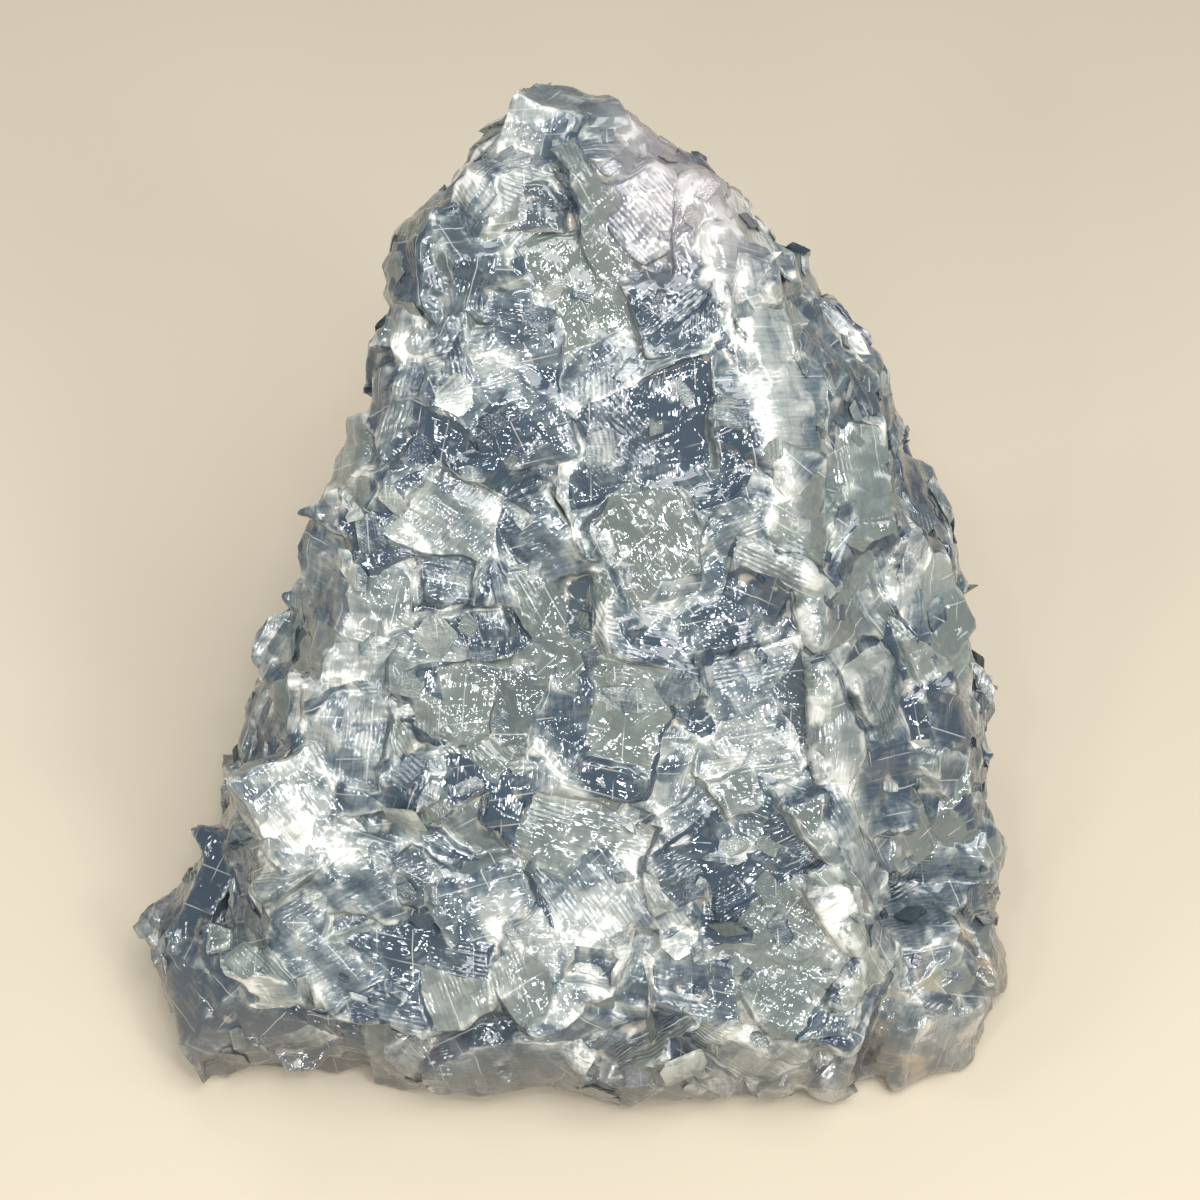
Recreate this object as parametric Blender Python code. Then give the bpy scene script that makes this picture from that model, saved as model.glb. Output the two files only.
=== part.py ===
"""Blue calcite: one rough lump that stands on its broad flat base.

The lump is a leaning mountain shape, grown over with calcite crystals that
have all broken along their cleavage planes. It is one solid. Metres, +Z up;
+X is the viewer's right and -Y is the broad front face.
"""

import math
import random

import bmesh
import bpy
from mathutils import Matrix, Vector
from mathutils.bvhtree import BVHTree

MM = 0.001

# The body under the crystals, as the reach of level sections, in millimetres:
# height, left, right, front, back.
LEVELS = (
    (-5, -69, 78, -62, 62),
    (14, -71, 81, -66, 66),
    (31, -69, 83, -66, 66),
    (46, -64, 80, -55, 65),
    (76, -53, 71, -30, 61),
    (106, -42, 57, -7, 57),
    (130, -32, 37, 14, 56),
    (146, -25, 23, 28, 57),
    (154, -12, 11, 34, 54),
)

# The outline of a level section: how far each corner goes of the way to the
# left or right reach, and of the way to the front or back reach.
CORNERS = (
    (-0.90, -0.90),  # front left edge
    (-0.10, -1.00),  # middle of the front
    (0.60, -0.96),  # the long ridge, right of the front
    (0.97, -0.42),
    (1.00, 0.20),
    (0.74, 0.84),  # back right edge
    (-0.02, 1.00),
    (-0.64, 0.80),  # back left edge
    (-0.90, 0.15),
    (-1.00, -0.42),
)

# The flared foot, in millimetres: its outline, and the heights at which its
# wall starts, turns in and ends under the body.
FOOT = (
    (-71, -61),
    (-80, -51),
    (-84, -38),
    (-75, -14),
    (-64, 40),
    (-45, 62),
    (0, 69),
    (48, 66),
    (76, 50),
    (83, 18),
    (84, -38),
    (77, -56),
    (56, -66),
    (24, -70),
    (-12, -69),
    (-40, -62),
)
FOOT_LOW = -5
FOOT_SHOULDER = 14
FOOT_TOP = 25
FOOT_TOP_SHRINK = 0.90

# Calcite always parts along three planes, so its faces are parallelograms
# with this blunt corner.
BLUNT_CORNER = math.radians(101.9)

# The crystals that stand out, in millimetres and degrees: the side that each
# is set from and its two places there, the width, height and roll of its
# face, the bearing (right of the front) and rise that the face looks along,
# how proud it stands, and the share of a corner that is broken off.
NAMED_CRYSTALS = (
    # The top.
    ("top", -7, 41, 13, 14, -12, -14, 50, 2.0, 0.0),
    ("top", 3, 44, 14, 12, 8, 14, 66, 1.0, 0.3),
    ("front", 4, 145, 9, 23, 8, 22, 34, 3.5, 0.5),
    ("front", 13, 146, 14, 15, 20, 16, 44, 2.0, 0.3),
    ("front", -10, 147, 14, 10, 5, -8, 44, 2.0, 0.0),
    # The upper front.
    ("front", 1, 135, 24, 24, 12, 6, 40, 1.5, 0.3),
    ("front", -14, 134, 15, 19, 22, -20, 32, 2.5, 0.0),
    ("front", -27, 127, 15, 17, 15, -24, 42, 2.5, 0.2),
    ("front", 19, 132, 18, 15, -8, 12, 42, 3.0, 0.0),
    ("front", 5, 123, 17, 17, 25, -6, 50, 3.0, 0.3),
    ("front", -28, 117, 18, 14, 4, -16, 38, 2.0, 0.0),
    ("front", -13, 118, 12, 11, 30, 14, 30, 2.5, 0.3),
    # The middle of the front.
    ("front", -12, 108, 13, 17, 8, 18, 30, 1.5, 0.0),
    ("front", 29, 111, 24, 29, 6, 12, 36, 2.5, 0.3),
    ("front", 6, 107, 15, 21, 14, -10, 52, 4.5, 0.3),
    ("front", 8, 94, 9, 14, 4, -4, 30, 2.0, 0.0),
    ("front", 22, 95, 14, 17, 6, 6, 32, 2.0, 0.0),
    ("front", -21, 97, 16, 15, 3, -8, 40, 3.5, 0.0),
    ("front", -36, 103, 18, 17, 40, -22, 40, 2.5, 0.3),
    ("front", -24, 86, 22, 10, 8, -4, 44, 3.0, 0.0),
    ("front", -8, 92, 10, 14, 12, 8, 36, 2.0, 0.3),
    ("front", 8, 82, 16, 16, -14, 2, 54, 4.0, 0.2),
    ("front", -11, 77, 18, 15, 2, -4, 34, 2.0, 0.0),
    ("front", 27, 84, 16, 20, 20, 8, 44, 3.5, 0.3),
    ("front", -32, 78, 16, 16, 12, -14, 36, 2.0, 0.3),
    # The lower front.
    ("front", -43, 67, 22, 23, 18, -22, 38, 2.0, 0.2),
    ("front", -25, 65, 25, 12, 28, 4, 46, 4.5, 0.0),
    ("front", -4, 61, 22, 22, 32, 10, 46, 4.0, 0.3),
    ("front", 16, 68, 14, 16, -20, 14, 30, 2.0, 0.0),
    ("front", 32, 68, 19, 17, 24, 6, 48, 3.5, 0.3),
    ("front", -42, 49, 17, 16, -4, -12, 44, 3.0, 0.0),
    ("front", -17, 45, 18, 21, 10, 6, 36, 2.0, 0.2),
    ("front", 34, 49, 18, 18, -8, 4, 42, 3.5, 0.3),
    ("front", 14, 50, 15, 18, 4, -6, 36, 2.0, 0.0),
    ("front", -33, 33, 36, 21, -6, -8, 48, 4.5, 0.4),
    ("front", -3, 38, 27, 21, 24, 6, 52, 4.5, 0.4),
    ("front", 22, 33, 18, 24, -18, 12, 40, 3.0, 0.3),
    ("front", 42, 31, 18, 16, 10, 10, 50, 3.5, 0.2),
    # The left edge, from top to bottom.
    ("front", -17, 147, 11, 13, 20, -48, 34, 3.0, 0.3),
    ("front", -24, 139, 12, 12, -10, -52, 24, 3.5, 0.0),
    ("front", -27, 131, 10, 12, 30, -40, 44, 2.5, 0.3),
    ("front", -34, 118, 12, 13, 10, -34, 40, 2.5, 0.3),
    ("front", -46, 92, 15, 18, 16, -38, 36, 2.5, 0.0),
    ("front", -50, 77, 14, 14, 34, -24, 52, 4.0, 0.3),
    ("front", -55, 64, 13, 15, 10, -38, 44, 3.0, 0.5),
    ("front", -60, 45, 16, 32, 8, -50, 34, 4.0, 0.3),
    ("left", -46, 28, 15, 24, 2, -62, 12, 2.5, 0.0),
    ("left", -30, 34, 13, 27, 0, -78, 8, 3.0, 0.0),
    ("left", -14, 40, 15, 25, 4, -84, 14, 2.0, 0.2),
    # The long ridge and the flank behind it.
    ("front", 21, 141, 10, 17, -30, 30, 40, 4.0, 0.2),
    ("front", 33, 128, 10, 22, -28, 30, 42, 4.5, 0.0),
    ("front", 39, 112, 10, 26, -14, 24, 44, 5.5, 0.2),
    ("front", 43, 93, 10, 24, -6, 28, 38, 5.5, 0.0),
    ("front", 44, 74, 11, 22, 4, 22, 36, 5.0, 0.2),
    ("front", 48, 53, 13, 30, 0, 22, 28, 4.5, 0.0),
    ("front", 59, 66, 13, 26, -8, 52, 26, 2.0, 0.0),
    ("front", 54, 94, 13, 21, -14, 56, 30, 2.0, 0.3),
    ("front", 48, 112, 12, 18, -20, 58, 32, 2.0, 0.0),
    ("front", 68, 70, 14, 22, -6, 42, 40, 3.0, 0.2),
    ("front", 73, 50, 13, 16, 4, 58, 24, 2.5, 0.0),
    ("front", 66, 40, 14, 24, -10, 44, 36, 2.5, 0.3),
    # The undercut band along the foot: wide, low faces, and stepped ledges.
    ("front", -50, 15, 26, 9, -4, -6, 22, 2.5, 0.4),
    ("front", -15, 14, 32, 17, 2, 2, 6, 2.0, 0.4),
    ("front", 20, 12, 24, 14, -4, 6, 4, 1.5, 0.2),
    ("front", 62, 27, 26, 12, 16, 22, 46, 3.0, 0.2),
    ("front", 66, 19, 28, 11, 14, 26, 36, 3.5, 0.2),
    ("front", 60, 10, 30, 12, 10, 22, 16, 2.0, 0.3),
)
NAMED_DEPTH = 17

# How much wider a crystal is where its walls end, deep in the body.
WALL_SPREAD = 1.3

# Crystals that fill the surface between the named ones, in millimetres.
FILL_SPACING = 14.0
FILL_BACK_SPACING = 17.0
FILL_SIDE = (15, 26)
FILL_PROUD = (0.8, 4.2)
FILL_TILT = 24
FILL_DEPTH = 15
FILL_TRIES = 6000
NEAR_NAMED = 0.6
LOWEST_PLACE = 4
HIGHEST_PLACE = 139
TERRACE_CHANCE = 0.4
TERRACE_STEP = (1.3, 2.6)
TERRACE_SHARE = (0.55, 0.6)
TERRACE_SHIFT = 0.2

# Flat breaks that cross the crystals and take their high corners off, in
# millimetres.
BREAK_SPACING = 17.0
BREAK_SIDE = (15, 30)
BREAK_PROUD = (2.0, 4.6)
BREAK_TILT = 14
BREAK_HEIGHT = 12
BREAK_SPREAD = 1.15
BREAK_NEAR_NAMED = 0.42

# The block under the ground that cuts the underside flat, in millimetres.
GROUND_BLOCK = (500, 500, 100)

BLUE = (0.33, 0.41, 0.47, 1.0)
ROUGHNESS = 0.18

SEED = 16

# Where the crystals of each side are set from: the axis that its first place
# and second place run along, and the way inward.
SIDES = {
    "front": ((1, 0, 0), (0, 0, 1), (0, 1, 0)),
    "left": ((0, 1, 0), (0, 0, 1), (1, 0, 0)),
    "top": ((1, 0, 0), (0, 1, 0), (0, 0, -1)),
}
FAR = 300 * MM


def clear_scene():
    for old in list(bpy.data.objects):
        bpy.data.objects.remove(old)


def level_ring(level):
    """The corners of one level section, in metres."""
    height, left, right, front, back = level
    middle_x = (left + right) / 2
    middle_y = (front + back) / 2
    ring = []
    for across, along in CORNERS:
        x = middle_x + across * (right - left) / 2
        y = middle_y + along * (back - front) / 2
        ring.append(Vector((x, y, height)) * MM)
    return ring


def foot_rings():
    """The foot's outline at its three heights, in metres."""
    rings = []
    for height, share in ((FOOT_LOW, 1), (FOOT_SHOULDER, 1), (FOOT_TOP, FOOT_TOP_SHRINK)):
        rings.append([Vector((x * share, y * share, height)) * MM for x, y in FOOT])
    return rings


def add_loft(bm, rings):
    """Joins rings of points, low to high, into one closed shell."""
    loops = [[bm.verts.new(p) for p in ring] for ring in rings]
    count = len(rings[0])
    faces = []
    for low, high in zip(loops, loops[1:]):
        for i in range(count):
            j = (i + 1) % count
            faces.append(bm.faces.new((low[i], low[j], high[j], high[i])))
    faces.append(bm.faces.new(loops[-1]))
    faces.append(bm.faces.new(list(reversed(loops[0]))))
    bmesh.ops.recalc_face_normals(bm, faces=faces)
    return faces


def add_body(bm):
    add_loft(bm, [level_ring(level) for level in LEVELS])


def body_and_foot():
    """The triangles of the body and the foot, which crystals are set on."""
    bm = bmesh.new()
    add_body(bm)
    add_loft(bm, foot_rings())
    bmesh.ops.triangulate(bm, faces=bm.faces)
    return bm


def body_tree():
    """The body and foot as a surface that a ray can meet."""
    bm = body_and_foot()
    tree = BVHTree.FromBMesh(bm)
    bm.free()
    return tree


def crystal_frame(normal, roll):
    """Axes of a crystal whose broad face looks along normal: its two face
    directions, and the direction its side walls run down."""
    level = Vector((0, 0, 1)).cross(normal)
    if level.length < 0.01:
        level = Vector((1, 0, 0))
    level.normalize()
    first = Matrix.Rotation(math.radians(roll), 3, normal) @ level
    second = Matrix.Rotation(BLUNT_CORNER, 3, normal) @ first
    lean = math.cos(BLUNT_CORNER)
    side = normal.cross(first)
    inward = (lean - lean * lean) / math.sin(BLUNT_CORNER)
    drop = math.sqrt(1 - lean * lean - inward * inward)
    down = -(first * lean + side * inward + normal * drop)
    return first, second, down


def add_crystal(bm, centre, normal, roll, wide, tall, depth, cut=0.0):
    """One cleavage block: a parallelogram face at centre, looking along
    normal, and walls that lean out as they run down into the body. cut takes
    that share off two corners. All in metres."""
    first, second, down = crystal_frame(normal, roll)
    half_a = first * wide / 2
    half_b = second * tall / 2
    top = [centre - half_a - half_b, centre + half_a - half_b]
    top += [centre + half_a + half_b, centre - half_a + half_b]
    if cut:
        for i in (3, 1):
            corner, before, after = top[i], top[i - 1], top[(i + 1) % len(top)]
            top[i : i + 1] = [corner.lerp(before, cut), corner.lerp(after, cut)]
    foot = centre + down * depth
    low = [foot + (p - centre) * WALL_SPREAD for p in top]
    add_loft(bm, [low, top])
    return first, second


def facing(bearing, rise):
    """The direction that many degrees right of the front and above level."""
    turn, lift = math.radians(bearing), math.radians(rise)
    return Vector((math.sin(turn) * math.cos(lift), -math.cos(turn) * math.cos(lift), math.sin(lift)))


def add_named_crystals(bm, tree):
    """The crystals that stand out. Returns their places and sizes."""
    taken = []
    for side, along, up, wide, tall, roll, bearing, rise, proud, cut in NAMED_CRYSTALS:
        first, second, inward = (Vector(axis) for axis in SIDES[side])
        start = (first * along + second * up) * MM - inward * FAR
        place = tree.ray_cast(start, inward)[0]
        normal = facing(bearing, rise)
        centre = place + normal * proud * MM
        add_crystal(bm, centre, normal, roll, wide * MM, tall * MM, NAMED_DEPTH * MM, cut)
        taken.append((place, (wide + tall) / 2 * MM))
    return taken


def scatter_on_body(dice, tree, taken, share, spacings):
    """Places spread evenly over the body and foot, each with the way that
    the surface looks there. They keep that share of each taken crystal's
    size away from it."""
    front_spacing, back_spacing = spacings
    bm = body_and_foot()
    faces = [face for face in bm.faces if face.normal.z > -0.5]
    areas = [face.calc_area() for face in faces]
    places = []
    for face in dice.choices(faces, weights=areas, k=FILL_TRIES):
        a, b, c = (vert.co for vert in face.verts)
        u, v = sorted((dice.random(), dice.random()))
        place = a * u + b * (v - u) + c * (1 - v)
        if not LOWEST_PLACE * MM < place.z < HIGHEST_PLACE * MM:
            continue
        spacing = (back_spacing if face.normal.y > 0.1 else front_spacing) * MM
        if any((place - other).length < spacing for other, _ in places):
            continue
        if any((place - other).length < size * share for other, size in taken):
            continue
        if tree.ray_cast(place + face.normal * MM, face.normal)[0]:
            continue
        places.append((place, face.normal.copy()))
    bm.free()
    return places


def tilted(dice, normal, most):
    """A direction turned from normal by up to that many degrees."""
    axis = Vector([dice.gauss(0, 1) for _ in range(3)]).normalized()
    angle = math.radians(dice.uniform(-most, most))
    return (Matrix.Rotation(angle, 3, axis) @ normal).normalized()


def add_breaks(bm, dice, tree, taken):
    """The material that flat breaks take away: blocks whose undersides are
    the new faces."""
    places = scatter_on_body(dice, tree, taken, BREAK_NEAR_NAMED, (BREAK_SPACING, BREAK_SPACING))
    for place, normal in places:
        normal = tilted(dice, normal, BREAK_TILT)
        first, second, _ = crystal_frame(normal, dice.uniform(0, 360))
        half_a = first * dice.uniform(*BREAK_SIDE) * MM / 2
        half_b = second * dice.uniform(*BREAK_SIDE) * MM / 2
        centre = place + normal * dice.uniform(*BREAK_PROUD) * MM
        low = [centre - half_a - half_b, centre + half_a - half_b]
        low += [centre + half_a + half_b, centre - half_a + half_b]
        above = centre + normal * BREAK_HEIGHT * MM
        high = [above + (p - centre) * BREAK_SPREAD for p in low]
        add_loft(bm, [low, high])
    return len(places)


def add_filling_crystals(bm, dice, tree, taken):
    """Crystals of mixed sizes over the rest of the surface, some of them with
    a smaller sheet left standing on the face."""
    places = scatter_on_body(dice, tree, taken, NEAR_NAMED, (FILL_SPACING, FILL_BACK_SPACING))
    for place, normal in places:
        normal = tilted(dice, normal, FILL_TILT)
        roll = dice.uniform(0, 360)
        wide = dice.uniform(*FILL_SIDE) * MM
        tall = dice.uniform(*FILL_SIDE) * MM
        centre = place + normal * dice.uniform(*FILL_PROUD) * MM
        cut = dice.choice((0, 0, 0.3))
        first, second = add_crystal(bm, centre, normal, roll, wide, tall, FILL_DEPTH * MM, cut)
        if dice.random() < TERRACE_CHANCE:
            place = centre + normal * dice.uniform(*TERRACE_STEP) * MM
            place += first * wide * dice.uniform(-TERRACE_SHIFT, TERRACE_SHIFT)
            place += second * tall * dice.uniform(-TERRACE_SHIFT, TERRACE_SHIFT)
            wide *= TERRACE_SHARE[0]
            tall *= TERRACE_SHARE[1]
            add_crystal(bm, place, normal, roll, wide, tall, FILL_DEPTH * MM / 2)
    return len(places)


def ground_cutter():
    """The block that the stone's underside is cut flat by."""
    bm = bmesh.new()
    block = Vector(GROUND_BLOCK) * MM
    bmesh.ops.create_cube(bm, size=1)
    bmesh.ops.scale(bm, vec=block, verts=bm.verts)
    bmesh.ops.translate(bm, vec=(0, 0, -block.z / 2), verts=bm.verts)
    return add_object("ground_cutter", bm, hidden=True)


def add_object(name, bm, hidden=False):
    mesh = bpy.data.meshes.new(name)
    bm.to_mesh(mesh)
    bm.free()
    obj = bpy.data.objects.new(name, mesh)
    bpy.context.scene.collection.objects.link(obj)
    if hidden:
        obj.hide_render = True
        obj.display_type = "WIRE"
    return obj


def add_boolean(obj, other, operation):
    cut = obj.modifiers.new(operation.lower() + "_" + other.name, "BOOLEAN")
    cut.operation = operation
    cut.solver = "EXACT"
    cut.use_self = True
    cut.object = other


def calcite_material():
    blue = bpy.data.materials.new("blue_calcite")
    blue.use_nodes = True
    shader = blue.node_tree.nodes["Principled BSDF"]
    shader.inputs["Base Color"].default_value = BLUE
    shader.inputs["Roughness"].default_value = ROUGHNESS
    shader.inputs["Metallic"].default_value = 0.0
    return blue


def shells(bm):
    """The separate closed surfaces of a mesh, as lists of their corners."""
    found = []
    seen = set()
    for start in bm.verts:
        if start in seen:
            continue
        seen.add(start)
        shell = [start]
        for vert in shell:
            for edge in vert.link_edges:
                other = edge.other_vert(vert)
                if other not in seen:
                    seen.add(other)
                    shell.append(other)
        found.append(shell)
    return found


def centring_shift(bm):
    """The level move that puts the middle of the stone's reach over the origin."""
    xs = [vert.co.x for vert in bm.verts]
    ys = [vert.co.y for vert in bm.verts]
    return Vector((-(min(xs) + max(xs)) / 2, -(min(ys) + max(ys)) / 2, 0))


def grown_together(stone):
    """The stone's mesh with its unions made, and without the small pockets
    that crystals close off where they cross."""
    graph = bpy.context.evaluated_depsgraph_get()
    joined = bpy.data.meshes.new_from_object(stone.evaluated_get(graph))
    bm = bmesh.new()
    bm.from_mesh(joined)
    outer = max(shells(bm), key=len)
    inner = set(bm.verts) - set(outer)
    bmesh.ops.delete(bm, geom=list(inner), context="VERTS")
    bmesh.ops.translate(bm, vec=centring_shift(bm), verts=bm.verts)
    bm.to_mesh(joined)
    bm.free()
    stone.modifiers.clear()
    stone.data = joined
    print(len(inner), "corners of closed pockets filled")


def main():
    clear_scene()
    dice = random.Random(SEED)
    tree = body_tree()
    crystals = bmesh.new()
    taken = add_named_crystals(crystals, tree)
    filled = add_filling_crystals(crystals, dice, tree, taken)
    print(len(taken), "named crystals,", filled, "filling crystals")
    body = bmesh.new()
    add_body(body)
    stone = add_object("blue_calcite", body)
    stone.data.materials.append(calcite_material())
    add_loft(crystals, foot_rings())
    growth = add_object("crystal_growth", crystals, hidden=True)
    add_boolean(stone, growth, "UNION")
    chips = bmesh.new()
    print(add_breaks(chips, dice, tree, taken), "breaks")
    add_boolean(stone, add_object("breaks", chips, hidden=True), "DIFFERENCE")
    add_boolean(stone, ground_cutter(), "DIFFERENCE")
    grown_together(stone)


main()
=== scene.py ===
# %% [markdown]
# # Blue calcite
#
# A rough lump of blue calcite: hundreds of crystals grown into each other and
# broken along their flat cleavage planes, then washed in acid, which rounds the
# edges and leaves a wet gloss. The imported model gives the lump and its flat
# faces. This script wears the edges, grows the fine ledges and chips, and gives
# the faces the milky, glassy blue-grey of the stone.

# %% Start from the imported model
import math

import bmesh
import bpy
import numpy as np
from mathutils import Matrix, Vector


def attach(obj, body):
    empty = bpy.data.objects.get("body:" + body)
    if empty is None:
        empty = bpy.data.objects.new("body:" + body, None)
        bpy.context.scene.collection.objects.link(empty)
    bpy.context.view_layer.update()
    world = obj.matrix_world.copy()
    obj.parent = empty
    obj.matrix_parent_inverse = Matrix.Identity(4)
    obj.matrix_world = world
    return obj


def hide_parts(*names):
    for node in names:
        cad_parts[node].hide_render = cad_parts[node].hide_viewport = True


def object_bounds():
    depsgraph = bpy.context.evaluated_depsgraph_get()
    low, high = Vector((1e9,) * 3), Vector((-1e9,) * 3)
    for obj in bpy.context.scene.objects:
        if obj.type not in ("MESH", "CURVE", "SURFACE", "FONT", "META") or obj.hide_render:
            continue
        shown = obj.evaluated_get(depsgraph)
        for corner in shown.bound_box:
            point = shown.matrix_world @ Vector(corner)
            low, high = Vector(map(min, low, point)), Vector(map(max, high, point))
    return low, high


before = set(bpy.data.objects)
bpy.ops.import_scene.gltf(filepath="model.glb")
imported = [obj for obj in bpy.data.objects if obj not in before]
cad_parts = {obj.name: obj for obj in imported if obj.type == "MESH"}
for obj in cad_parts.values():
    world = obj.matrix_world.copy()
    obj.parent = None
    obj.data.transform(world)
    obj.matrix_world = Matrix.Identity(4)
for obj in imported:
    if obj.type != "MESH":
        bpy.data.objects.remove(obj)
cad_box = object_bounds()
MM = 0.001
NODE = "blue_calcite"
print("packed nodes:", list(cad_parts))

# %% [markdown]
# ## Faces and crystals
#
# Every flat face of the lump is one cleavage plane of one crystal. The packed
# mesh is loose triangles, so a copy is merged and its coplanar triangles are
# dissolved into whole faces. Slivers between the larger faces are broken bits
# of a neighbour, so each joins the neighbour it shares the most edge with, and
# together they count as one crystal, with one colour.

# %% Whole faces from loose triangles
MERGE = 0.02 * MM
FLAT = math.radians(1.5)
LEAST_CRYSTAL = 26 * MM * MM
ALIKE = 1.2  # added to the cosine between two faces, so that it stays above 0
UNDERSIDE = -0.99  # a face whose normal has a lower z is the flat underside


def whole_faces(node):
    """The node's flat faces, merged from its triangles and numbered."""
    bm = bmesh.new()
    bm.from_mesh(bpy.data.objects[node].data)
    bmesh.ops.remove_doubles(bm, verts=bm.verts, dist=MERGE)
    bmesh.ops.dissolve_limit(bm, angle_limit=FLAT, verts=bm.verts, edges=bm.edges)
    bm.faces.ensure_lookup_table()
    number = bm.faces.layers.int.new("face_number")
    for face in bm.faces:
        face[number] = face.index
    return bm


def crystal_numbers(bm):
    """The crystal that each face belongs to."""
    leader = list(range(len(bm.faces)))

    def find(i):
        while leader[i] != i:
            i = leader[i]
        return i

    area = [face.calc_area() for face in bm.faces]
    for face in sorted(bm.faces, key=lambda f: f.calc_area()):
        own = find(face.index)
        if area[own] > LEAST_CRYSTAL:
            continue
        shared = {}
        for edge in face.edges:
            for other in edge.link_faces:
                other_leader = find(other.index)
                if other_leader != own and other.normal.z > UNDERSIDE:
                    fit = edge.calc_length() * (ALIKE + face.normal.dot(other.normal))
                    shared[other_leader] = shared.get(other_leader, 0) + fit
        if shared:
            best = max(shared, key=shared.get)
            leader[own] = best
            area[best] += area[own]
    return np.array([find(i) for i in range(len(leader))])


bm = whole_faces(NODE)
face_crystal = crystal_numbers(bm)
face_middle = np.array([face.calc_center_median() for face in bm.faces])
face_normal = np.array([face.normal for face in bm.faces])
face_area = np.array([face.calc_area() for face in bm.faces])
face_long = np.array(
    [
        max(((e.verts[1].co - e.verts[0].co) for e in face.edges), key=lambda v: v.length)
        for face in bm.faces
    ]
)
print(len(bm.faces), "flat faces in", len(set(face_crystal)), "crystals")

# %% [markdown]
# ## A finer skin
#
# Wear and grooves need small triangles. In each of a few rounds, the edges that
# are longer than the target are split in two, so every flat face keeps its
# exact outline. A voxel remesh would be quicker, but it would blur where one
# face ends and the next begins. The hidden underside stays coarse.

# %% Split the long edges
LONGEST_EDGE = 2.0 * MM
MOST_SPLITS = 5


def under(edge):
    """Whether an edge lies in the underside."""
    return all(face.normal.z < UNDERSIDE for face in edge.link_faces)


def split_finer(bm):
    """Splits long edges, and leaves triangles."""
    for _ in range(MOST_SPLITS):
        bmesh.ops.triangulate(bm, faces=[f for f in bm.faces if len(f.verts) > 3])
        split = [e for e in bm.edges if e.calc_length() > LONGEST_EDGE and not under(e)]
        bmesh.ops.subdivide_edges(bm, edges=split, cuts=1)
    bmesh.ops.triangulate(bm, faces=[f for f in bm.faces if len(f.verts) > 3])


split_finer(bm)
skin = bpy.data.meshes.new("calcite_stone")
bm.to_mesh(skin)
bm.free()
skin.validate()


def read(collection, field, width, kind=float):
    """One field of a mesh collection as an array, a row for each item."""
    flat = np.empty(len(collection) * width, kind)
    collection.foreach_get(field, flat)
    return flat.reshape(-1, width) if width > 1 else flat


points = read(skin.vertices, "co", 3)
edges = read(skin.edges, "vertices", 2, np.int32)
poly_face = read(skin.attributes["face_number"].data, "value", 1, np.int32)
corner_vertex = read(skin.loops, "vertex_index", 1, np.int32)
corner_face = np.repeat(poly_face, 3)
print(len(skin.polygons), "triangles in the skin")

# %% Smoothing, and a soft noise, on arrays
degree = np.bincount(edges.ravel(), minlength=len(points)).astype(float)


def smoothed(values, rounds, share=0.5, where=None):
    """Values moved towards the mean of their neighbours, round by round."""
    result = values.copy()
    move = share if where is None else share * where[:, None]
    for _ in range(rounds):
        total = np.zeros_like(result)
        for axis in range(result.shape[1]):
            column = result[:, axis]
            total[:, axis] += np.bincount(edges[:, 0], column[edges[:, 1]], len(result))
            total[:, axis] += np.bincount(edges[:, 1], column[edges[:, 0]], len(result))
        result += move * (total / degree[:, None] - result)
    return result


def soft_noise(places, size, seed, waves=9):
    """A smooth noise, mostly from -1 to 1: sine waves in mixed directions."""
    mixer = np.random.default_rng(seed)
    total = np.zeros(len(places))
    for _ in range(waves):
        way = mixer.normal(size=3)
        way *= mixer.uniform(0.6, 1.5) / np.linalg.norm(way) * math.tau / size
        total += np.sin(places @ way + mixer.uniform(0, math.tau))
    return total / math.sqrt(waves)


def unit(vectors):
    return vectors / np.maximum(np.linalg.norm(vectors, axis=1, keepdims=True), 1e-12)


def normals_at(places):
    """The directions that the skin's corners look along."""
    skin.vertices.foreach_set("co", places.ravel())
    skin.update()
    return read(skin.vertices, "normal", 3)


# %% Which corners lie on one face, and which between two crystals
EVEN_ROUNDS = 6
EVEN_SHARE = 0.6


def reach_of(numbers):
    """The lowest and the highest number that meets at each corner."""
    lowest = np.full(len(points), numbers.max() + 1)
    highest = np.full(len(points), -1)
    np.minimum.at(lowest, corner_vertex, numbers)
    np.maximum.at(highest, corner_vertex, numbers)
    return lowest, highest


lowest, home = reach_of(corner_face)
on_one_face = (lowest == home).astype(float)
corner_crystal = face_crystal[corner_face]
lowest, highest = reach_of(corner_crystal)
between = (lowest != highest).astype(float)
# Corners inside a face slide along it until they are evenly spaced.
points = smoothed(points, EVEN_ROUNDS, EVEN_SHARE, on_one_face)

# %% [markdown]
# ## Wear, sheets and swells
#
# The acid rounds every edge and lowers what stands out, so the skin is smoothed
# a little and drawn towards the lump's broad shape. Straight edges then bend: a
# slow push in mixed directions takes the sawn look off them. Most faces also
# keep fine parallel steps where thin sheets of crystal came away: a saw-tooth
# wave across the face, along its own cleavage direction, raises them.

# %% Cleavage directions of each face
BLUNT_CORNER = math.radians(101.9)
face_long = unit(face_long)
across_a = np.cross(face_normal, face_long)
second = face_long * math.cos(BLUNT_CORNER) + across_a * math.sin(BLUNT_CORNER)
across_b = unit(np.cross(face_normal, second))
dice = np.random.default_rng(5)
face_random = dice.random((len(face_area), 4))
crystal_random = dice.random((len(face_area), 4))


def cleavage_places(places, faces):
    """How far places lie across each of their face's two cleavage lines."""
    local = places - face_middle[faces]
    first = np.einsum("ij,ij->i", local, across_a[faces])
    return first, np.einsum("ij,ij->i", local, across_b[faces])


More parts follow.
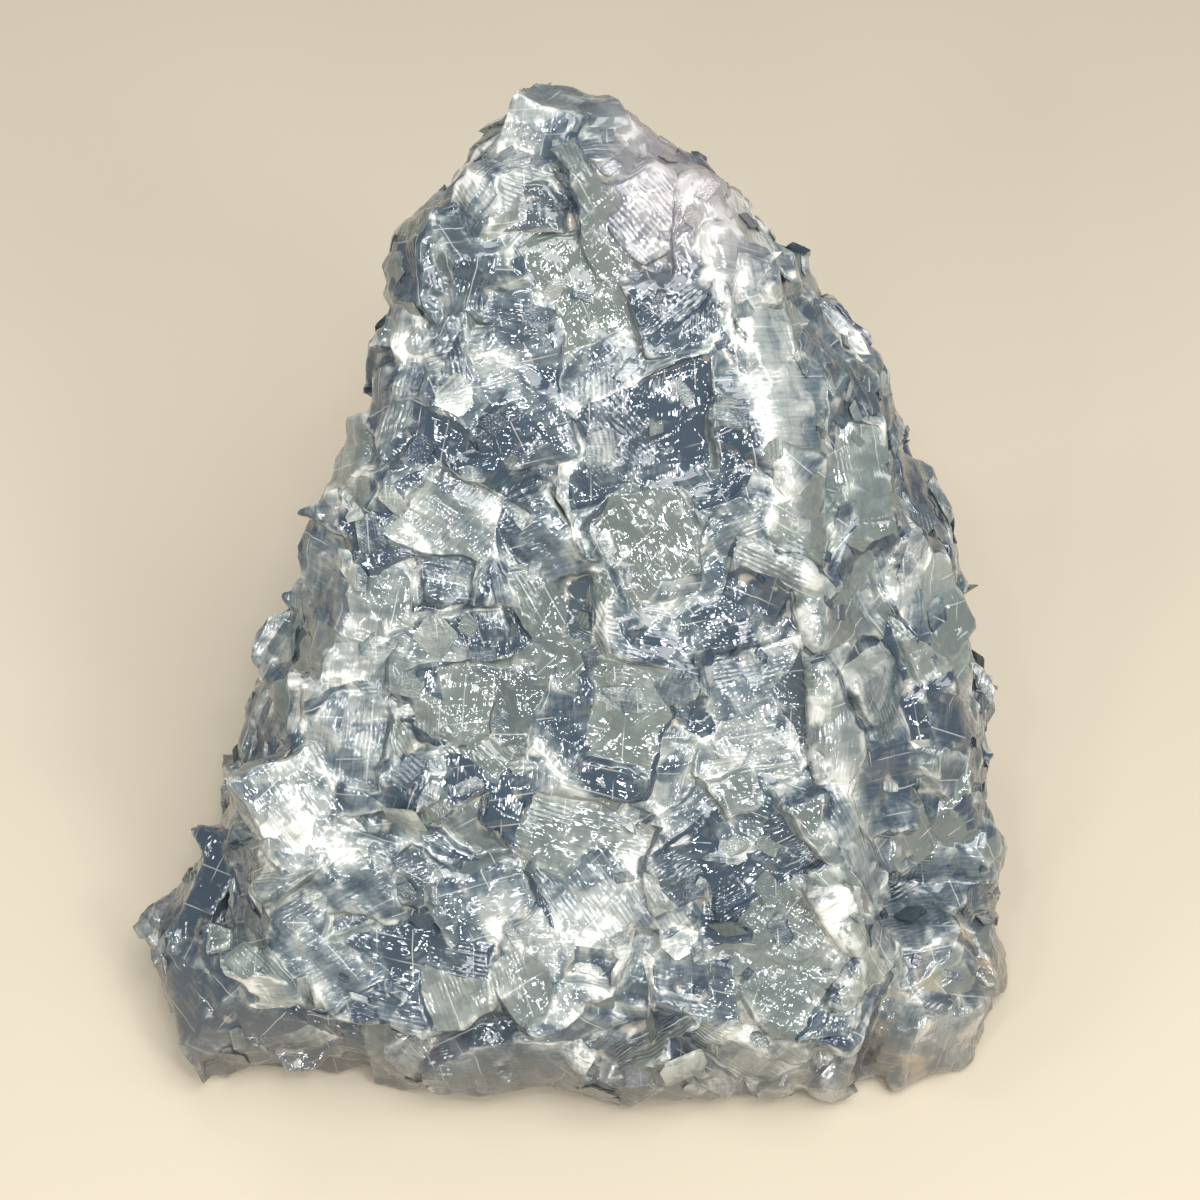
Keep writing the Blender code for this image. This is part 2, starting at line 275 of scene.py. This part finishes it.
# %% Wear the edges and bend them
WEAR_ROUNDS = 2
WEAR_SHARE = 0.4
BODY_ROUNDS = 30
RELIEF_KEPT = 0.78
BEND = ((22 * MM, 1.0 * MM), (8 * MM, 0.5 * MM), (3.5 * MM, 0.26 * MM))  # length, reach
BEND_ON_AXIS = 0.7
BEND_START = 2 * MM  # above the ground, which stays flat

points = smoothed(points, WEAR_ROUNDS, WEAR_SHARE)
body = smoothed(points, BODY_ROUNDS)
points = body + (points - body) * RELIEF_KEPT
grip = np.clip(points[:, 2] / BEND_START, 0, 1)
push = np.zeros_like(points)
for step, (size, reach) in enumerate(BEND):
    for axis in range(3):
        push[:, axis] += soft_noise(points, size, 10 * step + axis) * reach * BEND_ON_AXIS
points += push * grip[:, None]

# %% [markdown]
# A long ridge runs down the right of the front, from the apex to the foot. The
# packed crystals stand along it, and here the skin between them is drawn up
# into one line. Its place is a curve: how far right it lies at each height.

# %% Draw up the long ridge
RIDGE_FOOT = 51 * MM
RIDGE_FOOT_HEIGHT = 30 * MM
RIDGE_BEND = 2.0  # metres to the left, for each square metre of height
RIDGE_WIDTH = 4 * MM
RIDGE_LIFT = 1.8 * MM
FRONT_LIMIT = 40 * MM

normals = normals_at(points)
ridge_x = RIDGE_FOOT - RIDGE_BEND * (points[:, 2] - RIDGE_FOOT_HEIGHT) ** 2
beside = np.abs(points[:, 0] - ridge_x) / RIDGE_WIDTH
lift = np.exp(-beside * beside) * (points[:, 1] < FRONT_LIMIT) * RIDGE_LIFT
points += normals * (lift * grip)[:, None]

# %% Raise the sheets
SHEET_HEIGHT = 0.55 * MM
SHEET_PERIOD = (2.2 * MM, 6.5 * MM)
SHEET_FALL = 0.14
SHARE_OF_FACES = 0.7
WANDER_SIZE = 12 * MM
WANDER_REACH = 0.3  # periods
FADE_SIZE = 16 * MM
FADE_START = 0.6
INSET = 0.01 * MM

normals = normals_at(points)
first, other = cleavage_places(points, home)
chance = face_random[home]
period = SHEET_PERIOD[0] + (SHEET_PERIOD[1] - SHEET_PERIOD[0]) * chance[:, 1]
run = np.where(chance[:, 2] > 0.5, first, other) / period
run = (run + soft_noise(points, WANDER_SIZE, 31) * WANDER_REACH) % 1.0
wave = np.where(run < 1 - SHEET_FALL, run / (1 - SHEET_FALL), (1 - run) / SHEET_FALL)
depth = np.clip((chance[:, 0] - 1 + SHARE_OF_FACES) / SHARE_OF_FACES, 0, 1) * on_one_face
depth = smoothed(depth[:, None], 1)[:, 0]
fade = np.clip(soft_noise(points, FADE_SIZE, 32) + FADE_START, 0, 1)
points += normals * ((wave - 0.5) * SHEET_HEIGHT * depth * fade * grip)[:, None]

low, high = (np.array(corner) for corner in cad_box)
points = np.clip(points, low + INSET, high - INSET)
normals = normals_at(points)
print("sheets up to", round(SHEET_HEIGHT / MM, 2), "mm high")

# %% [markdown]
# ## What the material needs to know
#
# Some facts about each place are stored as attributes: how far it stands out
# as a ridge or lies in a crevice, how near it is to the border of its crystal,
# numbers that differ from crystal to crystal, and its coordinates across its
# own face's cleavage lines. The last two are kept on face corners, so that they
# change cleanly where one face ends and the next begins.

# %% Ridges and borders
RIDGE_DEPTH = 0.38 * MM
RIDGE_ROUNDS = 3
BORDER_ROUNDS = (2, 14)  # a narrow and a wide border, added up
away = points - smoothed(points, RIDGE_ROUNDS)
ridge = np.einsum("ij,ij->i", away, normals) / RIDGE_DEPTH
border = sum(smoothed(between[:, None], rounds)[:, 0] for rounds in BORDER_ROUNDS)
for name, values in (("ridge", ridge), ("border", border)):
    print(name, "5%, half, 95%:", np.percentile(values, (5, 50, 95)).round(2))


def store(mesh, name, domain, columns):
    """Three columns of numbers as a vector attribute."""
    attribute = mesh.attributes.new(name, "FLOAT_VECTOR", domain)
    values = np.ascontiguousarray(np.stack(columns, 1), np.float32)
    attribute.data.foreach_set("vector", values.ravel())


store(skin, "marks", "POINT", (ridge, border, np.zeros(len(points))))

# %% Numbers of each crystal and coordinates on each face
SLIDE = 0.4  # metres, so that no two faces show the same part of a pattern
first, other = cleavage_places(points[corner_vertex], corner_face)
slide, side_slide, which = face_random[corner_face, :3].T
on_face = (first + slide * SLIDE, other + side_slide * SLIDE, which)
store(skin, "cleavage", "CORNER", on_face)
store(skin, "tone", "CORNER", crystal_random[corner_crystal, :3].T)

calcite = bpy.data.materials.new("blue_calcite")
calcite.use_nodes = True
stone = bpy.data.objects.new("calcite_stone", skin)
bpy.context.scene.collection.objects.link(stone)
skin.materials.clear()
skin.materials.append(calcite)
skin.shade_smooth()
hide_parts(NODE)
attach(stone, "root")

# %% [markdown]
# ## Chips
#
# In patches between the large faces the stone breaks into thin chips of 1 to
# 8 mm, all with the slanted corners of a calcite rhomb. They repeat by a rule,
# so Geometry Nodes scatter one worn rhomb over the skin, turn it to the surface
# and vary its size. Half of its thickness is sunk. A noise keeps them in
# patches, and none lies close to the ground.

# %% One rhomb, the shape that calcite breaks into
WORN = 0.06


def rhomb_edges():
    """The three edge directions that meet at a blunt corner."""
    lean = math.cos(BLUNT_CORNER)
    inward = (lean - lean * lean) / math.sin(BLUNT_CORNER)
    drop = math.sqrt(1 - lean * lean - inward * inward)
    first = Vector((1, 0, 0))
    second = Vector((lean, math.sin(BLUNT_CORNER), 0))
    return first, second, Vector((lean, inward, drop))


def rhomb_object():
    """One worn block, a unit along each edge, with its middle at the origin."""
    a, b, c = rhomb_edges()
    bm = bmesh.new()
    bmesh.ops.create_cube(bm, size=1)
    bmesh.ops.bevel(bm, geom=bm.edges, offset=WORN, segments=2, affect="EDGES")
    for vert in bm.verts:
        vert.co = a * vert.co.x + b * vert.co.y + c * vert.co.z
    bmesh.ops.recalc_face_normals(bm, faces=bm.faces)
    mesh = bpy.data.meshes.new("rhomb")
    bm.to_mesh(mesh)
    bm.free()
    return bpy.data.objects.new("rhomb", mesh)


# %% A helper that builds node trees
class Tree:
    """Adds nodes to a tree: type, settings first, then socket values or links."""

    def __init__(self, tree):
        self.tree = tree

    def add(self, kind, settings=None, values=None):
        node = self.tree.nodes.new(kind)
        for name, value in (settings or {}).items():
            setattr(node, name, value)
        for name, value in (values or {}).items():
            socket = node.inputs[name]
            value = getattr(value, "socket", value)
            if isinstance(value, bpy.types.NodeSocket):
                self.tree.links.new(value, socket)
            else:
                socket.default_value = value
        return node


# %% The scatter
CHIP_INPUTS = (
    ("Block", "NodeSocketObject"),
    ("Spacing", "NodeSocketFloat"),
    ("Most per square metre", "NodeSocketFloat"),
    ("Patch size", "NodeSocketFloat"),
    ("Smallest", "NodeSocketVector"),
    ("Largest", "NodeSocketVector"),
    ("Tilt", "NodeSocketFloat"),
    ("Seed", "NodeSocketInt"),
    ("Material", "NodeSocketMaterial"),
)
CHIP_MARKS = (0.0, 0.5, 0.0)  # ridge and border, as in the skin's marks
LOWEST_CHIP = 5 * MM
PATCH_EDGE = (0.5, 0.62)


def random_vector(t, low, high, seed):
    """A random vector for each point, between two others."""
    values = {0: low, 1: high, "Seed": seed}
    node = t.add("FunctionNodeRandomValue", {"data_type": "FLOAT_VECTOR"}, values)
    return node.outputs["Value"]


def turned(t, rotation, by):
    """A rotation, turned further about its own axes."""
    values = {"Rotation": rotation, "Rotate By": by}
    node = t.add("FunctionNodeRotateRotation", {"rotation_space": "LOCAL"}, values)
    return node.outputs["Rotation"]


def ramp(t, value, low, high):
    """0 at low, 1 at high, and straight in between."""
    values = {"Value": value, "From Min": low, "From Max": high}
    return t.add("ShaderNodeMapRange", None, values).outputs[0]


def where_chips_lie(t, place, size):
    """1 in the patches of chips, 0 between them and near the ground."""
    density = t.add("ShaderNodeMath", {"operation": "DIVIDE"}, {0: 1.0, 1: size}).outputs[0]
    values = {"Vector": place, "Scale": density, "Detail": 2.0}
    cloud = t.add("ShaderNodeTexNoise", None, values).outputs["Fac"]
    height = t.add("ShaderNodeSeparateXYZ", None, {0: place}).outputs[2]
    patch = ramp(t, cloud, *PATCH_EDGE)
    above = ramp(t, height, LOWEST_CHIP, 2 * LOWEST_CHIP)
    both = t.add("ShaderNodeMath", {"operation": "MULTIPLY"}, {0: patch, 1: above})
    return both.outputs[0]


def chip_tree():
    """The node group, with named inputs and a seed."""
    group = bpy.data.node_groups.new("chips", "GeometryNodeTree")
    face = group.interface
    face.new_socket("Geometry", in_out="INPUT", socket_type="NodeSocketGeometry")
    for name, kind in CHIP_INPUTS:
        face.new_socket(name, in_out="INPUT", socket_type=kind)
    face.new_socket("Geometry", in_out="OUTPUT", socket_type="NodeSocketGeometry")
    t = Tree(group)
    given = t.add("NodeGroupInput").outputs
    place = t.add("GeometryNodeInputPosition").outputs[0]
    spots = t.add(
        "GeometryNodeDistributePointsOnFaces",
        {"distribute_method": "POISSON"},
        {
            "Mesh": given["Geometry"],
            "Distance Min": given["Spacing"],
            "Density Max": given["Most per square metre"],
            "Density Factor": where_chips_lie(t, place, given["Patch size"]),
            "Seed": given["Seed"],
        },
    )
    seed = given["Seed"]
    tilt = given["Tilt"]
    back = t.add("ShaderNodeMath", {"operation": "MULTIPLY"}, {0: tilt, 1: -1.0}).outputs[0]
    low_tilt = t.add("ShaderNodeCombineXYZ", None, {"X": back, "Y": back}).outputs[0]
    high_tilt = t.add("ShaderNodeCombineXYZ", None, {"X": tilt, "Y": tilt}).outputs[0]
    spun = random_vector(t, (0, 0, 0), (0, 0, math.tau), seed)
    spun = turned(t, spots.outputs["Rotation"], spun)
    block = t.add("GeometryNodeObjectInfo", None, {"Object": given["Block"]})
    placed = t.add(
        "GeometryNodeInstanceOnPoints",
        None,
        {
            "Points": spots.outputs["Points"],
            "Instance": block.outputs["Geometry"],
            "Rotation": turned(t, spun, random_vector(t, low_tilt, high_tilt, seed)),
            "Scale": random_vector(t, given["Smallest"], given["Largest"], seed),
        },
    )
    toned = t.add(
        "GeometryNodeStoreNamedAttribute",
        {"data_type": "FLOAT_VECTOR", "domain": "INSTANCE"},
        {
            "Geometry": placed.outputs["Instances"],
            "Name": "tone",
            "Value": random_vector(t, (0, 0, 0), (1, 1, 1), seed),
        },
    )
    real = t.add("GeometryNodeRealizeInstances", None, {"Geometry": toned.outputs[0]})
    marked = t.add(
        "GeometryNodeStoreNamedAttribute",
        {"data_type": "FLOAT_VECTOR", "domain": "POINT"},
        {"Geometry": real.outputs[0], "Name": "cleavage", "Value": place},
    )
    noted = t.add(
        "GeometryNodeStoreNamedAttribute",
        {"data_type": "FLOAT_VECTOR", "domain": "POINT"},
        {"Geometry": marked.outputs[0], "Name": "marks", "Value": CHIP_MARKS},
    )
    values = {"Geometry": noted.outputs[0], "Material": given["Material"]}
    made = t.add("GeometryNodeSetMaterial", None, values)
    t.add("NodeGroupOutput", None, {"Geometry": made.outputs[0]})
    return group


def with_nodes(mesh, group, values):
    """The mesh that a node group makes of a mesh, as plain data."""
    obj = bpy.data.objects.new("carrier", mesh)
    bpy.context.scene.collection.objects.link(obj)
    modifier = obj.modifiers.new(group.name, "NODES")
    modifier.node_group = group
    for item in group.interface.items_tree:
        if item.in_out == "INPUT" and item.name in values:
            modifier[item.identifier] = values[item.name]
    graph = bpy.context.evaluated_depsgraph_get()
    result = bpy.data.meshes.new_from_object(obj.evaluated_get(graph))
    bpy.data.objects.remove(obj)
    return result


# %% Two sizes of chips
MOST_CHIPS = 90000.0  # per square metre; the spacing thins them out
CHIP_TILT = math.radians(8)
CHIPS = {
    "coarse_chips": {
        "Spacing": 8.0 * MM,
        "Patch size": 24 * MM,
        "Smallest": [4.0 * MM, 3.0 * MM, 0.7 * MM],
        "Largest": [8.0 * MM, 6.0 * MM, 1.3 * MM],
        "Seed": 3,
    },
    "fine_chips": {
        "Spacing": 4.5 * MM,
        "Patch size": 12 * MM,
        "Smallest": [1.6 * MM, 1.2 * MM, 0.5 * MM],
        "Largest": [5.0 * MM, 3.0 * MM, 1.0 * MM],
        "Seed": 11,
    },
}
rhomb = rhomb_object()
scatter = chip_tree()
for name, values in CHIPS.items():
    values["Block"] = rhomb
    values["Most per square metre"] = MOST_CHIPS
    values["Tilt"] = CHIP_TILT
    values["Material"] = calcite
    chips = bpy.data.objects.new(name, with_nodes(skin, scatter, values))
    bpy.context.scene.collection.objects.link(chips)
    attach(chips, "root")
    print(name, len(chips.data.vertices) // len(rhomb.data.vertices), "blocks")
bpy.data.objects.remove(rhomb)

# %% [markdown]
# ## The calcite itself
#
# The stone looks deep because clear navy crystal lies between milky veils.
# Real refraction would need its inner cracks as geometry, so the veils are
# painted in 3D noise that runs through the whole body, and each face adds thin
# white cleavage lines and blocky clouds along its own directions.

# %% Arithmetic on sockets
sheet = Tree(calcite.node_tree)
calcite.node_tree.nodes.clear()


class Value:
    """A number socket that can be used in Python expressions."""

    def __init__(self, socket):
        self.socket = socket

    def math(self, operation, *others):
        """The result of a Math node on this and the others."""
        values = dict(enumerate((self,) + others))
        node = sheet.add("ShaderNodeMath", {"operation": operation}, values)
        return Value(node.outputs[0])

    def __add__(self, other):
        return self.math("ADD", other)

    __radd__ = __add__

    def __sub__(self, other):
        return self.math("SUBTRACT", other)

    def __rsub__(self, other):
        return self.math("MULTIPLY_ADD", -1.0, other)

    def __mul__(self, other):
        return self.math("MULTIPLY", other)

    __rmul__ = __mul__

    def __truediv__(self, other):
        return self.math("DIVIDE", other)

    def __pow__(self, other):
        return self.math("POWER", other)

    def wave(self):
        """The sine of this, from 0 to 1."""
        return self.math("SINE") * 0.5 + 0.5

    def or_more(self, other):
        return self.math("MAXIMUM", other)

    def between(self, low, high):
        """0 at low, 1 at high, and smooth in between."""
        node = sheet.add(
            "ShaderNodeMapRange",
            {"interpolation_type": "SMOOTHSTEP"},
            {"Value": self, "From Min": low, "From Max": high},
        )
        return Value(node.outputs["Result"])


def attribute(name):
    """A stored vector of the mesh."""
    return sheet.add("ShaderNodeAttribute", {"attribute_name": name}).outputs["Vector"]


def parts(vector):
    """The three numbers of a vector."""
    split = sheet.add("ShaderNodeSeparateXYZ", None, {0: vector})
    return [Value(socket) for socket in split.outputs]


def vector(x, y, z):
    """A vector of three numbers."""
    return sheet.add("ShaderNodeCombineXYZ", None, {"X": x, "Y": y, "Z": z}).outputs[0]


def noise(place, size, detail, roughness=0.55, distortion=0.0):
    """Soft noise with features of that size, in metres."""
    values = {"Vector": place, "Scale": 1 / size, "Detail": detail}
    values.update({"Roughness": roughness, "Distortion": distortion})
    return Value(sheet.add("ShaderNodeTexNoise", None, values).outputs["Fac"])


def mix(factor, first, second):
    """The first colour at 0, the second at 1."""
    values = {"Factor": factor, 6: first, 7: second}
    return sheet.add("ShaderNodeMix", {"data_type": "RGBA"}, values).outputs[2]


# %% Where things are
place = sheet.add("ShaderNodeTexCoord").outputs["Object"]
across_x, along_y, up_z = parts(place)
ridge, border, _ = parts(attribute("marks"))
cleave_a, cleave_b, which = parts(attribute("cleavage"))
tone, tint, grain = parts(attribute("tone"))

# %% [markdown]
# ### Veils, blocks and lines
#
# Large clouds decide where the crystal is milky and where it is clear. Each
# crystal is clearest in its middle and milky at its border, where it is full of
# small cracks. The long ridge is full of them too, so a pale vein follows it.
# Blocky patches follow the face's own slanted grid, and fine lines are the
# edges of inner cracks. All of them add up to one number, the milkiness.

# %% Noises, blocks and cracks
BIG_CLOUD = 30 * MM
SMALL_CLOUD = 7 * MM
BLOCK = 11 * MM
WISP = 1.8 * MM
HAIR = 2.2 * MM
CRACK_WIDTH = 0.2 * MM
CRACK_SPACING = 4.5 * MM
CROSS_SPACING = 7.0 * MM
CRACK_PATCH = 5 * MM
APART = 17.0  # slides one face's cracks away from the next face's

big_cloud = noise(place, BIG_CLOUD, 2.0, 0.6, 0.6)
small_cloud = noise(place, SMALL_CLOUD, 3.0, 0.65, 0.8)


def patches(size):
    """Slanted blocks of even brightness on each face."""
    grid = vector(cleave_a, cleave_b, which * 3.0)
    values = {"Vector": grid, "Scale": 1 / size, "Randomness": 0.8}
    node = sheet.add("ShaderNodeTexVoronoi", {"distance": "CHEBYCHEV"}, values)
    return parts(node.outputs["Color"])[0]


def cracks(across, along, spacing, seed):
    """Thin lines at uneven spacing across a face, that fade out lengthwise."""
    settings = {"voronoi_dimensions": "1D", "feature": "DISTANCE_TO_EDGE"}
    values = {"W": across / spacing + which * APART + seed, "Scale": 1.0}
    near = Value(sheet.add("ShaderNodeTexVoronoi", settings, values).outputs["Distance"])
    fade = noise(vector(across * 1.2, along * 0.35, which + seed), CRACK_PATCH, 1.0)
    return (1.0 - near.between(0.0, CRACK_WIDTH / spacing)) * fade.between(0.5, 0.64)


blocks = patches(BLOCK)
lines = cracks(cleave_a, cleave_b, CRACK_SPACING, 1.0)
lines = lines.or_more(cracks(cleave_b, cleave_a, CROSS_SPACING, 4.0))
wisps = noise(vector(cleave_a * 0.3, cleave_b, which * 9.0), WISP, 2.0)
hairs = noise(vector(cleave_a * 4.0, cleave_b * 0.4, which), HAIR, 2.0)

# %% The pale vein along the ridge
VEIN_CORE = 0.5 * MM
VEIN_REACH = RIDGE_WIDTH * 1.4
VEIN_WANDER = 18 * MM
VEIN_END = 5 * MM

ridge_x = RIDGE_FOOT - (up_z - RIDGE_FOOT_HEIGHT) ** 2.0 * RIDGE_BEND
beside = (across_x - ridge_x + (small_cloud - 0.5) * VEIN_WANDER).math("ABSOLUTE")
in_front = 1.0 - along_y.between(FRONT_LIMIT - VEIN_END, FRONT_LIMIT)
vein = (1.0 - beside.between(VEIN_CORE, VEIN_REACH)) * in_front

# %% Milkiness, the sum of all
VEIN_SHARE = 0.65
CRACKED_SHARE = 0.5
MILK_OFFSET = 0.2
MILK_RANGE = (-0.15, 1.15)
VEILS = (
    # number from 0 to 1, how much it counts
    (big_cloud, 1.5),
    (small_cloud, 1.0),
    (tone, 0.7),
    (blocks, 0.3),
    (wisps, 0.5),
    (hairs, 0.45),
)

cracked = border * small_cloud.between(0.36, 0.64) + vein * VEIN_SHARE
veil = sum((value - 0.5) * weight for value, weight in VEILS)
milk = (veil + cracked * CRACKED_SHARE + MILK_OFFSET).between(*MILK_RANGE)

# %% Colours, light values
NAVY = (0.030, 0.047, 0.066, 1)
SLATE = (0.100, 0.127, 0.140, 1)
MIST = (0.255, 0.275, 0.258, 1)
FROST = (0.62, 0.62, 0.575, 1)
CREAM = (0.56, 0.50, 0.39, 1)
SAGE = (0.165, 0.185, 0.155, 1)

MILK_STEPS = (
    # milkiness where a colour starts and where it is full
    (0.0, 0.45, SLATE),
    (0.35, 0.75, MIST),
    (0.75, 1.0, FROST),
)
SAGE_SHARE = 0.6
LINE_SHARE = 0.5
# The next share whitens ridges: partly real frost, partly painted light of thin edges.
FROST_AND_GLOW_SHARE = 0.55
CREAM_SHARE = 0.5
CREAM_PATCH = 12 * MM

colour = NAVY
for start, full, next_colour in MILK_STEPS:
    colour = mix(milk.between(start, full), colour, next_colour)
colour = mix(tint.between(0.6, 0.95) * SAGE_SHARE, colour, SAGE)
colour = mix(lines * LINE_SHARE, colour, FROST)
# Ridges turn frosty white: partly the real frost of rough broken edges, partly painted
# light where thin edges let light through.
frost_and_edge_glow = ridge.between(0.25, 1.1) * small_cloud.between(0.42, 0.62)
colour = mix(frost_and_edge_glow * FROST_AND_GLOW_SHARE, colour, FROST)
stained = noise(place, CREAM_PATCH, 1.0).between(0.46, 0.6)
crevice = (1.0 - ridge.between(-1.0, -0.3)) * stained
colour = mix(crevice * CREAM_SHARE, colour, CREAM)

# %% [markdown]
# ### Painted shade and tints by place
#
# The undercut band along the foot is painted darker and browner. This is painted
# shade: the band lies under the overhang and faces away from the light. Iron has
# stained the lower right corner tan, and the crystals right of the apex are faintly mauve.

# %% Painted shade and tints
# The first colour is painted shade for the foot band; tan and mauve are the stone's own.
SHADED_BAND = (0.120, 0.108, 0.090, 1)
TAN = (0.34, 0.24, 0.13, 1)
MAUVE = (0.26, 0.225, 0.235, 1)

BAND_SHADE_SHARE = 0.65
SHADED_BAND_TOP = (10 * MM, 27 * MM)
TAN_SHARE = 0.45
TAN_SIDE = (50 * MM, 70 * MM)
TAN_TOP = (18 * MM, 34 * MM)
MAUVE_SHARE = 0.6
MAUVE_HEIGHT = (135 * MM, 150 * MM)
MAUVE_SIDE = (0.0, 15 * MM)

# Painted shade: the foot band is darkened and browned where it lies in shade under the
# overhang.
in_shaded_band = 1.0 - up_z.between(*SHADED_BAND_TOP)
colour = mix(in_shaded_band * BAND_SHADE_SHARE, colour, SHADED_BAND)
in_corner = across_x.between(*TAN_SIDE) * (1.0 - up_z.between(*TAN_TOP))
colour = mix(in_corner * small_cloud.between(0.54, 0.66) * TAN_SHARE, colour, TAN)
by_apex = up_z.between(*MAUVE_HEIGHT) * across_x.between(*MAUVE_SIDE)
colour = mix(by_apex * MAUVE_SHARE, colour, MAUVE)

# %% [markdown]
# ### Gloss and fine grooves
#
# Acid leaves fine parallel grooves about a millimetre apart. On some faces they
# are straight and on some they curve round a point, like a fingerprint. They
# wander a little and fade in and out, so their bump is a sine wave over the
# cleavage coordinates with noise in its phase.

# %% Bump
GROOVE = 0.9 * MM
STEP = GROOVE * 1.7
GROOVE_PATCH = 13 * MM
DRIFT_SIZE = 5 * MM
DRIFT = 8.0  # radians of the wave's phase
ARC_CENTRE = (12 * MM, 8 * MM)
DIMPLE = 0.9 * MM
SWELL = 4.0 * MM
BUMP_HEIGHT = 0.3 * MM
BUMP_STRENGTH = 0.9
drift = noise(place, DRIFT_SIZE, 1.0) * DRIFT


def grooves(across, period):
    """Parallel grooves with a wandering phase."""
    return (across * (math.tau / period) + drift).wave()


curved = ((cleave_a + ARC_CENTRE[0]) ** 2.0 + (cleave_b + ARC_CENTRE[1]) ** 2.0) ** 0.5
straight = grooves(cleave_a, GROOVE) * which.between(0.35, 0.6)
round_a_point = grooves(curved, GROOVE) * (1.0 - which.between(0.1, 0.2))
groove_share = noise(place, GROOVE_PATCH, 1.0).between(0.44, 0.62)
steps = grooves(cleave_b, STEP) * grain.between(0.6, 0.8)
dimples = noise(vector(cleave_a, cleave_b * 0.3, which * 5.0), DIMPLE, 1.0)
swell = noise(place, SWELL, 1.0)
relief = (straight + round_a_point) * groove_share * 0.4 + steps * 0.15
relief = relief + dimples * 0.6 + swell * 1.3
values = {"Height": relief, "Distance": BUMP_HEIGHT, "Strength": BUMP_STRENGTH}
bump = sheet.add("ShaderNodeBump", None, values)

# %% The shader
IOR = 1.6
COAT = 0.3
COAT_ROUGHNESS = 0.05
LEAST_ROUGHNESS = 0.04
cloudy = big_cloud.between(0.45, 0.75) * 0.12
shader = sheet.add(
    "ShaderNodeBsdfPrincipled",
    None,
    {
        "Base Color": colour,
        "Roughness": cloudy + milk * 0.10 + LEAST_ROUGHNESS,
        "IOR": IOR,
        "Normal": bump.outputs["Normal"],
        "Coat Weight": COAT,
        "Coat Roughness": COAT_ROUGHNESS,
    },
)
sheet.add("ShaderNodeOutputMaterial", None, {"Surface": shader.outputs[0]})
print("calcite:", len(calcite.node_tree.nodes), "nodes")

# %% [markdown]
# ## Table, light and camera
#
# The stone stands on a plain pale table. Broad soft lamps light it from above
# and from behind, and small bright ones in front and at the left give the wet
# faces their flashes. The camera looks down on the sloping front.

# %% The table
TABLE = (0.48, 0.422, 0.324, 1)
TABLE_SIZE = 3
TABLE_ROUGHNESS = 0.6
bpy.ops.mesh.primitive_plane_add(size=TABLE_SIZE)
table = bpy.context.object
table.name = "table"
cover = bpy.data.materials.new("table")
cover.use_nodes = True
cover_shader = cover.node_tree.nodes["Principled BSDF"]
cover_shader.inputs["Base Color"].default_value = TABLE
cover_shader.inputs["Roughness"].default_value = TABLE_ROUGHNESS
table.data.materials.append(cover)

# %% Lights
AIM = Vector((0, 0, 0.07))
LIGHTS = (
    # name, bearing from the front and rise in degrees, distance and size in m, power in W
    ("overhead", 60, 66, 1.0, 0.70, 8.5),
    ("front_high", 8, 52, 0.9, 0.10, 1.6),
    ("front_right", 38, 38, 0.9, 0.16, 2.2),
    ("front_left", -34, 34, 0.9, 0.12, 1.4),
    ("front_low", 4, 20, 0.9, 0.10, 0.9),
    ("spark_left", -16, 26, 0.9, 0.035, 0.7),
    ("spark_right", 22, 60, 0.9, 0.035, 0.7),
    ("spark_high", -28, 60, 0.9, 0.035, 0.7),
    ("spark_low", 24, 12, 0.9, 0.035, 0.7),
    ("side_left", -75, 40, 0.9, 0.14, 1.2),
    ("back", 205, 48, 1.0, 0.40, 1.5),
)
for name, bearing, rise, distance, size, power in LIGHTS:
    turn, lift = math.radians(bearing), math.radians(rise)
    level = math.cos(lift)
    way = Vector((math.sin(turn) * level, -math.cos(turn) * level, math.sin(lift)))
    lamp = bpy.data.lights.new(name, "AREA")
    lamp.shape = "SQUARE"
    lamp.size = size
    lamp.energy = power
    holder = bpy.data.objects.new(name, lamp)
    bpy.context.scene.collection.objects.link(holder)
    holder.location = AIM + way * distance
    holder.rotation_euler = way.to_track_quat("Z", "Y").to_euler()

WORLD = (0.96, 0.97, 1.0, 1)
WORLD_STRENGTH = 0.40
world = bpy.data.worlds.new("studio")
bpy.context.scene.world = world
world.use_nodes = True
world.node_tree.nodes["Background"].inputs["Color"].default_value = WORLD
world.node_tree.nodes["Background"].inputs["Strength"].default_value = WORLD_STRENGTH

# %% Camera
VIEW_RISE = math.radians(48)
VIEW_DISTANCE = 0.45  # metres from the point that the camera looks at
VIEW_TARGET = Vector((3.9, -7.7, 80.6)) * MM
FIELD = math.radians(28.8)
SENSOR = 36
toward = Vector((0, -math.cos(VIEW_RISE), math.sin(VIEW_RISE)))
upward = Vector((0, math.sin(VIEW_RISE), math.cos(VIEW_RISE)))
camera_data = bpy.data.cameras.new("camera")
camera_data.sensor_width = SENSOR
camera_data.lens = SENSOR / 2 / math.tan(FIELD / 2)
camera = bpy.data.objects.new("camera", camera_data)
bpy.context.scene.collection.objects.link(camera)
stand = Matrix((Vector((1, 0, 0)), upward, toward)).transposed().to_4x4()
stand.translation = VIEW_TARGET + toward * VIEW_DISTANCE
camera.matrix_world = stand
bpy.context.scene.camera = camera
bpy.context.scene.view_settings.view_transform = "Standard"
